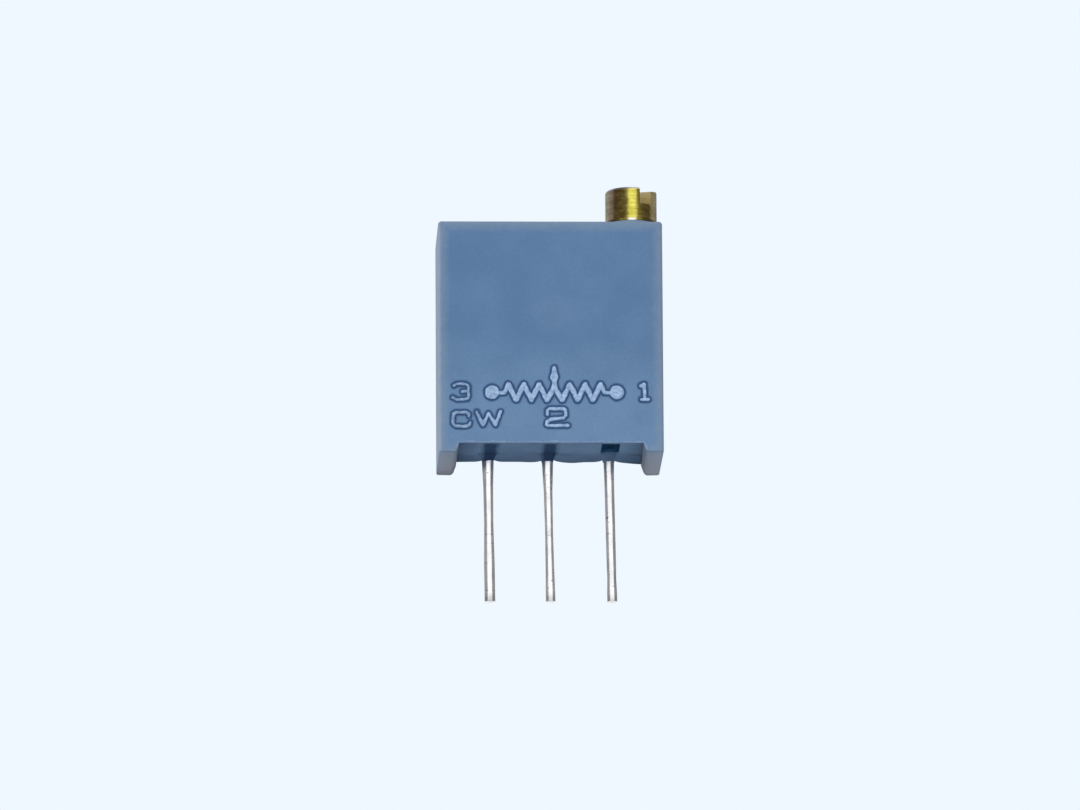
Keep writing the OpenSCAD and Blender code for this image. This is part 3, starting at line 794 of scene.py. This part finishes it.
def face_marks():
    """The resistor symbol, the pins' numbers and the sense of turning, raised on the front."""
    return join([relief(resistor_symbol(), (0.14, 2.55)), relief(THREE, (-3.84, 2.57), 0.012),
                 relief(ONE, (3.96, 2.59)), relief(LETTER_C, (-3.81, 1.38), 0.01),
                 relief(LETTER_W, (-2.67, 1.38), 0.006), relief(TWO, (0.25, 1.49))])


# ---- Screw ----

def worm(low):
    """The worm's thread from a height up, wound from the section of one pitch."""
    tip_r, pitch_r = 0.82, 0.62
    root_r = pitch_r - 1.15 * GEAR_MODULE
    half = (LEAD - 0.08) * 0.455 / 2
    rise = math.tan(math.radians(20))
    flank = (pitch_r - root_r) * rise
    tip_half = half - GEAR_MODULE * rise
    thread = outline("worm", [(root_r, -half - flank), (tip_r, -tip_half), (tip_r, tip_half),
                              (root_r, half + flank), (root_r, LEAD - half - flank)])
    activate(thread)
    winding = thread.modifiers.new("winding", "SCREW")
    winding.axis = "Z"
    winding.angle = 2 * math.pi
    winding.screw_offset = LEAD
    winding.iterations = WORM_TURNS
    winding.steps = winding.render_steps = 48
    winding.use_merge_vertices = False
    bpy.ops.object.modifier_apply(modifier=winding.name)
    edit(thread, "VERT")
    merge_doubles()
    bpy.ops.mesh.select_all(action="DESELECT")
    bpy.ops.mesh.select_mode(type="EDGE")
    bpy.ops.mesh.select_non_manifold()
    bpy.ops.mesh.edge_face_add()
    done()
    thread.location = (SCREW_X, SCREW_Y, low)
    apply_place(thread)
    tidy_mesh(thread)
    return thread


def beside_slot(low, high):
    """A block between two corners that are written from the screw's axis, turned as the slot is."""
    block = box(low, high)
    block.rotation_euler = (0, 0, math.radians(SLOT_ANGLE - 90))
    block.location = (SCREW_X, SCREW_Y, 0)
    return apply_place(block)


def screw():
    """The slotted head, the sealed shank, the neck, the worm and the lower journal."""
    worm_low = WHEEL_Z - WORM_TURNS / 2 * LEAD
    low, high = worm_low - 0.45 * LEAD, worm_low + (WORM_TURNS - 0.7) * LEAD
    shoulder = low + 1.15 * LEAD
    core_r, soft = 0.3, 0.05
    rim = HEAD_BOTTOM - 0.022
    stem = turned([(0, JOURNAL_LOW), (JOURNAL_R - 0.03, JOURNAL_LOW), (JOURNAL_R, JOURNAL_LOW + 0.03),
                   (JOURNAL_R, low), (SHANK_R - soft, low), (SHANK_R, low + soft), (SHANK_R, shoulder),
                   (core_r, shoulder), (core_r, high), (SHANK_R, high), (SHANK_R, NECK_LOW),
                   (NECK_R, NECK_LOW), (NECK_R, CEILING), (SHANK_R, CEILING), (SHANK_R, SEAL_LOW),
                   (SEAL_R, SEAL_LOW), (SEAL_R, SEAL_HIGH), (SHANK_R, SEAL_HIGH),
                   (SHANK_R, rim), (HEAD_R - 0.03, rim),
                   (HEAD_R - 0.015, rim + 0.02), (HEAD_R, rim + 0.1), (HEAD_R, rim + 0.12),
                   (HEAD_R, HEAD_TOP - 0.08), (HEAD_R - 0.06, HEAD_TOP), (0, HEAD_TOP)],
                  (SCREW_X, SCREW_Y), 128)
    cut(stem, beside_slot((-2, -SLOT_W / 2, HEAD_TOP - SLOT_DEPTH), (2, SLOT_W / 2, HEAD_TOP + CLEAR)))
    # the half behind the slot is worn down towards the front
    wear = beside_slot((-2, 0, HEAD_TOP - 0.3), (2, 2, HEAD_TOP + CLEAR))
    for v in wear.data.vertices:
        if v.co.z < HEAD_TOP:
            v.co.z = HEAD_TOP + (v.co.y - SCREW_Y + 0.02) * math.tan(math.radians(11))
    cut(stem, wear)
    piece = join([stem, worm(worm_low)])

    sawn, pale_chamfer = 1, 2
    empty_slots(piece, 3)
    across = Vector((math.cos(math.radians(SLOT_ANGLE)), math.sin(math.radians(SLOT_ANGLE)), 0))
    for face in piece.data.polygons:
        c, n = face.center, face.normal
        off = abs((c - Vector((SCREW_X, SCREW_Y, 0))).dot(across))
        flat = max(abs(n.dot(across)), n.z) > 0.99
        if flat and c.z > HEAD_TOP - SLOT_DEPTH - 0.01 and off < SLOT_W / 2 + 0.01:
            face.material_index = sawn
        # the top chamfer takes a paler brass, which paints its reflection whiter
        elif c.z > HEAD_TOP - 0.09 and 0.4 < n.z < 0.8:
            face.material_index = pale_chamfer
    return piece


# ---- Pins ----

# each pin's lean in degrees, its shift to the right, and its radius along it, as (height, radius)
PINS = {
    1: (1.05, -0.034, ((0.95, 0.26), (0.68, 0.25), (0.35, 0.235), (-0.4, 0.212), (-1.2, 0.204), (-4.4, 0.2),
                       (-5.0, 0.19), (-5.6, 0.21))),
    2: (0.97, -0.1, ((0.95, 0.26), (0.68, 0.26), (0.3, 0.252), (-0.3, 0.226), (-0.75, 0.206), (-1.2, 0.184),
                     (-3.0, 0.168), (-4.6, 0.182), (-5.6, 0.2))),
    3: (0.6, -0.093, ((0.95, 0.26), (0.68, 0.26), (0.3, 0.262), (-0.3, 0.238), (-1.0, 0.208), (-2.6, 0.194),
                      (-3.5, 0.21), (-4.4, 0.226), (-5.6, 0.224))),
}


def pin(number):
    """A drawn pin, flared at the epoxy and slightly necked, and the fork that grips the substrate."""
    x = (2 - number) * PIN_PITCH
    lean, shift, girth = PINS[number]
    tip_r = girth[-1][1]
    bend_z = 0.5
    wire = turned([(0, girth[0][0])] + [(r, z) for z, r in girth]
                  + [(tip_r, -PIN_L + 0.012), (tip_r - 0.01, -PIN_L), (0, -PIN_L)], (x, 0), 40)
    edit(wire, "VERT")
    pick_points(wire, lambda p: p.z < bend_z)
    bpy.ops.transform.rotate(value=math.radians(lean), orient_axis="Y", center_override=(x, 0, bend_z))
    bpy.ops.transform.translate(value=(shift, 0, 0))
    done()
    half_w, low, high, grip_low, prong = 0.35, 0.84, 1.94, 1.09, 0.15
    fork = box((x - half_w, FORK_FRONT, low), (x + half_w, FORK_BACK, high))
    edit(fork, "EDGE")
    pick_edges(fork, lambda a, b: abs(a.z - b.z) > 0.5 or min(a.z, b.z) > high - 0.04)
    bevel(0.04, 3)
    done()
    cut(fork, box((x - CLEAR, FORK_FRONT + prong, grip_low), (x + CLEAR, FORK_BACK - prong, high + CLEAR)))
    return join([wire, fork])


# ---- Epoxy ----

FILL_FRONT, FILL_BACK = 0.264, 2.295
FILL_LOW, FILL_HIGH = FOOT_H + 0.04, CEILING - 0.01
FILL_HALF_W = POCKET_HALF_W - 0.01
FILL_LOW_HALF_W = REAR_HALF_W - 0.01
PLUG_HALF_W = WINDOW_HALF_W - 0.002


def slab():
    """The rear mass: its back creeps up the walls, and its underside rises towards each pin."""
    clear_selection()
    bpy.ops.mesh.primitive_grid_add(x_subdivisions=110, y_subdivisions=100, size=2)
    piece = bpy.context.object
    piece.scale = (FILL_HALF_W, (FILL_HIGH - FILL_LOW) / 2, 1)
    piece.rotation_euler = (math.radians(90), 0, 0)
    piece.location = (0, FILL_BACK, (FILL_LOW + FILL_HIGH) / 2)
    apply_place(piece)
    edit(piece)
    pick_faces(piece, lambda c, n: c.z < FLOOR_TOP + 0.01 and abs(c.x) > FILL_LOW_HALF_W)
    bpy.ops.mesh.delete(type="FACE")
    bpy.ops.mesh.select_all(action="SELECT")
    bpy.ops.mesh.extrude_region_move(TRANSFORM_OT_translate={"value": (0, FILL_FRONT - FILL_BACK, 0)})
    done()
    tidy_mesh(piece)
    for v in piece.data.vertices:
        p = v.co
        half_w = FILL_HALF_W if p.z > FLOOR_TOP + 0.02 else FILL_LOW_HALF_W
        near_edge = max(0.0, 1 - (p.z - FILL_LOW) / 0.5) ** 2
        if p.y > FILL_BACK - 0.01:
            wall = max(0.0, min(half_w - abs(p.x), FILL_HIGH - p.z))
            p.y += 0.09 * math.exp(-wall / 0.22) - 0.03 - 0.35 * near_edge
            p.y += 0.035 * noise.noise(Vector((p.x * 0.5, 1.7, p.z * 0.5)))
        off_pin = (p.x + 4.5 * PIN_PITCH) % PIN_PITCH - PIN_PITCH / 2
        lift = 0.06 + 0.12 * math.exp(-(off_pin / 0.33) ** 2) - 0.07 * min(1, max(0, (p.x - 2.9) / 0.7))
        lift -= 0.03 * math.exp(-((p.x - 1.1) / 0.5) ** 2)
        p.z += near_edge * (lift + 0.025 * noise.noise(Vector((p.x * 1.5, p.y * 0.9, 3.1))))
    return piece


def plug(x):
    """What fills a window, with a hollow lower face."""
    low, front, back = FOOT_H + 0.008, WINDOW_FRONT + 0.002, -0.2
    middle, half_length = -1.18, 0.983
    piece = box((x - PLUG_HALF_W, front, low), (x + PLUG_HALF_W, back, FOOT_H + 0.59))
    edit(piece)
    pick_faces(piece, lambda c, n: n.z < -0.5)
    bpy.ops.mesh.subdivide(number_cuts=15)
    done()
    for v in piece.data.vertices:
        if v.co.z < FOOT_H + 0.01:
            across, along = (v.co.x - x) / PLUG_HALF_W, (v.co.y - middle) / half_length
            v.co.z += 0.1 * max(0, 1 - across ** 2) * max(0, 1 - along ** 2)
    return piece


def skirt(number):
    """What climbs down a pin from the underside."""
    x = (2 - number) * PIN_PITCH + PINS[number][1]
    wide = 0.0 if number == 1 else 0.03
    return turned([(0, FOOT_H + 0.2), (0.36 + wide, FOOT_H + 0.2), (0.34 + wide, FOOT_H + 0.02),
                   (0.29 + wide * 0.5, 0.27), (0.262 + wide * 0.2, 0.16), (0.25, 0.06), (0, 0.04)],
                  (x, 0), 40)


def fill():
    """The poured epoxy: rear mass, step behind the windows, two plugs and the skirts round the pins."""
    step = (-FILL_LOW_HALF_W, -0.27, FILL_LOW + 0.02), (FILL_LOW_HALF_W, FILL_FRONT + 0.05, FLOOR_TOP)
    piece = join([slab(), box(*step), plug(-PIN_PITCH), plug(0), skirt(1), skirt(2), skirt(3)])
    # its lower ends follow the channel's sides
    for v in piece.data.vertices:
        p = v.co
        end = min(1.0, max(0.0, (abs(p.x) - FILL_LOW_HALF_W + 0.3) / 0.3))
        rise = min(1.0, max(0.0, (FLOOR_TOP - p.z) / (FLOOR_TOP - FOOT_H)))
        p.x += widening(p) * end * rise
    return piece


# ---- Camera, light and floor ----

PALE = (0.863, 0.939, 1.0, 1.0)
WHITE = (1, 1, 1, 1)
FLOOR_Z = -0.5


def camera():
    """A long lens half a metre away, a little from below and from the left."""
    azimuth, elevation, roll = math.radians(-1.95), math.radians(-12.5), math.radians(-0.34)
    distance = 0.5
    target = Vector((-0.476, FRONT_Y, 2.015)) * MM
    data = bpy.data.cameras.new("camera")
    data.sensor_width = 36
    data.lens = 393.6
    data.clip_start, data.clip_end = 0.01, 20
    cam = bpy.data.objects.new("camera", data)
    bpy.context.scene.collection.objects.link(cam)
    back = Vector((math.sin(azimuth) * math.cos(elevation), -math.cos(azimuth) * math.cos(elevation),
                   math.sin(elevation)))
    cam.location = target + back * distance
    cam.rotation_mode = "QUATERNION"
    cam.rotation_quaternion = (-back).to_track_quat("-Z", "Y")
    cam.rotation_quaternion = cam.rotation_quaternion @ Matrix.Rotation(roll, 4, "Z").to_quaternion()
    bpy.context.scene.camera = cam


def surroundings():
    """Pale air all round, which the camera and bright metal see, and a plainer level that lights the part."""
    world = bpy.data.worlds.new("studio")
    bpy.context.scene.world = world
    world.use_nodes = True
    nodes, links = world.node_tree.nodes, world.node_tree.links
    nodes.clear()
    out = nodes.new("ShaderNodeOutputWorld")
    seen, lit = nodes.new("ShaderNodeBackground"), nodes.new("ShaderNodeBackground")
    seen.inputs["Color"].default_value = PALE
    lit.inputs["Color"].default_value = WHITE
    lit.inputs["Strength"].default_value = 0.47
    path = nodes.new("ShaderNodeLightPath")
    sees = path.outputs["Is Camera Ray"]
    for ray in ("Is Glossy Ray", "Is Transmission Ray"):
        either = nodes.new("ShaderNodeMath")
        either.operation = "MAXIMUM"
        links.new(sees, either.inputs[0])
        links.new(path.outputs[ray], either.inputs[1])
        sees = either.outputs[0]
    mix = nodes.new("ShaderNodeMixShader")
    links.new(sees, mix.inputs[0])
    links.new(lit.outputs[0], mix.inputs[1])
    links.new(seen.outputs[0], mix.inputs[2])
    links.new(mix.outputs[0], out.inputs[0])


def lamp(name, place, size, watts):
    """A soft lamp that faces the part and doesn't show in metal."""
    data = bpy.data.lights.new(name, "AREA")
    data.size = size
    data.energy = watts
    lamp_object = bpy.data.objects.new(name, data)
    bpy.context.scene.collection.objects.link(lamp_object)
    lamp_object.location = place
    lamp_object.visible_glossy = False
    lamp_object.rotation_mode = "QUATERNION"
    towards = Vector((0, 0, 0.004)) - lamp_object.location
    lamp_object.rotation_quaternion = towards.to_track_quat("-Z", "Y")


def floor():
    """A plain pale floor, well below the part."""
    clear_selection()
    bpy.ops.mesh.primitive_plane_add(size=6, location=(0, 0, FLOOR_Z))
    plane = bpy.context.object
    plane.name = plane.data.name = "floor"
    material = bpy.data.materials.new("pale_floor")
    material.use_nodes = True
    shader = material.node_tree.nodes["Principled BSDF"]
    shader.inputs["Base Color"].default_value = PALE
    shader.inputs["Roughness"].default_value = 0.8
    plane.data.materials.append(material)


CARD_RADIUS = 40


def only_in_metal(plane, colour):
    """Makes a plane glow, seen by reflections alone."""
    plane.name = plane.data.name = "card"
    material = bpy.data.materials.new("card")
    material.use_nodes = True
    shader = material.node_tree.nodes["Principled BSDF"]
    shader.inputs["Base Color"].default_value = (0, 0, 0, 1)
    shader.inputs["Specular IOR Level"].default_value = 0
    shader.inputs["Emission Color"].default_value = (*colour, 1)
    shader.inputs["Emission Strength"].default_value = 1
    plane.data.materials.append(material)
    for ray in ("camera", "diffuse", "shadow", "transmission"):
        setattr(plane, "visible_" + ray, False)


def card(azimuth, spread, low, high, colour):
    """An upright card round the part: its place and spread in degrees, its lower and upper edges in mm."""
    a, half = math.radians(azimuth), math.radians(spread / 2)
    clear_selection()
    bpy.ops.mesh.primitive_plane_add(size=1, rotation=(math.radians(90), 0, a))
    plane = bpy.context.object
    plane.location = Vector((math.sin(a) * CARD_RADIUS, -math.cos(a) * CARD_RADIUS, (low + high) / 2)) * MM
    plane.scale = (2 * CARD_RADIUS * math.tan(half) * MM, (high - low) * MM, 1)
    only_in_metal(plane, colour)


def card_ring():
    """White cards before the part, dark ones at its sides: a lower row, and an upper one for the head."""
    white, left, right = (1.35,) * 3, (0.38,) * 3, (0.3,) * 3
    bright, brown = (1.6,) * 3, (0.1, 0.06, 0.14)
    slate, mist, grey = (0.4, 0.37, 0.9), (0.32, 0.29, 0.5), (0.4, 0.41, 0.42)
    pale, violet = (0.45, 0.46, 1.15), (0.365, 0.3, 1.15)
    low, split, high = -11, 13.5, 60
    for i in (-1, 0, 1):
        card(i * 33.3, 33.4, low, split, white)
    for i in range(5):
        card(-63 - 26 * i, 26, low, split, left)
        card(63 + 26 * i, 26, low, split, right)
        card(128 + 26 * i, 26, -40, low, white)
    card(8.75, 35.5, split, high, bright)
    for azimuth, spread in ((-32.5, 47), (-72, 32), (43.75, 34.5), (76.5, 31)):
        card(azimuth, spread, split, high, brown)
    for i, colour in enumerate((slate, mist, grey, grey, pale, violet)):
        card(107 + 30 * i, 30, split, high, colour)
    # two more lie flat overhead
    for x, colour in ((-0.053, (0.13, 0.13, 0.17)), (0.047, (0.85, 0.87, 1.1))):
        clear_selection()
        bpy.ops.mesh.primitive_plane_add(size=0.1, location=(x, 0, high * MM))
        only_in_metal(bpy.context.object, colour)


# ---- Putting it together ----

camera()
surroundings()
floor()
lamp("key", (0.12, -0.45, 0.25), 0.35, 0.75)
lamp("side_light", (-0.45, -0.08, 0.12), 0.4, 0.85)
card_ring()

blue, yellow, tin, grey = moulding(), brass(), tinned(), epoxy()
# painted shade: dark blue on the windows' walls, as the shade inside them
shade = plain("window_wall_shade", tint(12, 44, 80), tint(18, 54, 92), 0.7)
# a painted highlight, paler blue, along the torn lip's bevels and on the burr
edge_sheen = plain("edge_highlight", tint(126, 154, 190), tint(152, 178, 210), 0.5, grain=6.0)
# paler, near-white brass for the head's top chamfer: a painted whiter reflection
pale_chamfer = plain("pale_chamfer_brass", tint(198, 191, 164), tint(226, 220, 198), 0.3, 1.0, grain=3.0)
finish_piece(case(), "case", "base", [blue, shade, sole_finish(), edge_sheen, grey],
             replaces=["housing"])
finish_piece(face_marks(), "face_marks", "base", [blue])
finish_piece(screw(), "screw", "screw", [yellow, sawn_brass(), pale_chamfer],
             replaces=["adjustment_screw"])
for number in PINS:
    finish_piece(pin(number), "pin_%d" % number, "base", [tin],
                 replaces=["terminal_%d" % number])
finish_piece(fill(), "epoxy_fill", "base", [grey], replaces=["potting"])

silver = plain("silver_film", tint(176, 176, 172), tint(206, 206, 202), 0.4, 0.8, 10.0)
solder = plain("solder", tint(160, 161, 164), tint(204, 205, 208), 0.3, 0.9, 3.0)
FINISHES = {
    "housing": blue, "adjustment_screw": yellow, "potting": grey,
    "terminal_1": tin, "terminal_2": tin, "terminal_3": tin,
    "conductor_1": silver, "conductor_2": silver, "conductor_3": silver,
    "solder_1": solder, "solder_2": solder, "solder_3": solder,
    "resistive_track": plain("cermet", tint(40, 40, 42), tint(58, 58, 60), 0.5, 0.0, 12.0),
    "substrate": plain("alumina", tint(226, 226, 220), tint(240, 240, 236), 0.6, 0.0, 8.0),
    "worm_wheel": plain("ivory_nylon", tint(218, 212, 194), tint(232, 227, 212), 0.45, 0.0, 4.0),
    "wiper": plain("contact_alloy", tint(176, 168, 150), tint(214, 206, 190), 0.28, 1.0, 1.0,
                   stretch=(30, 4, 4)),
    "retaining_clip": plain("spring_steel", tint(150, 150, 154), tint(190, 190, 194), 0.3, 1.0, 1.0,
                            stretch=(4, 30, 30)),
    "o_ring": plain("seal_rubber", tint(24, 24, 25), tint(36, 36, 37), 0.6, 0.0, 6.0),
}
for node, material in FINISHES.items():
    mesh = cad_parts[node].data
    mesh.materials.clear()
    mesh.materials.append(material)

bpy.context.scene.view_settings.view_transform = "Standard"
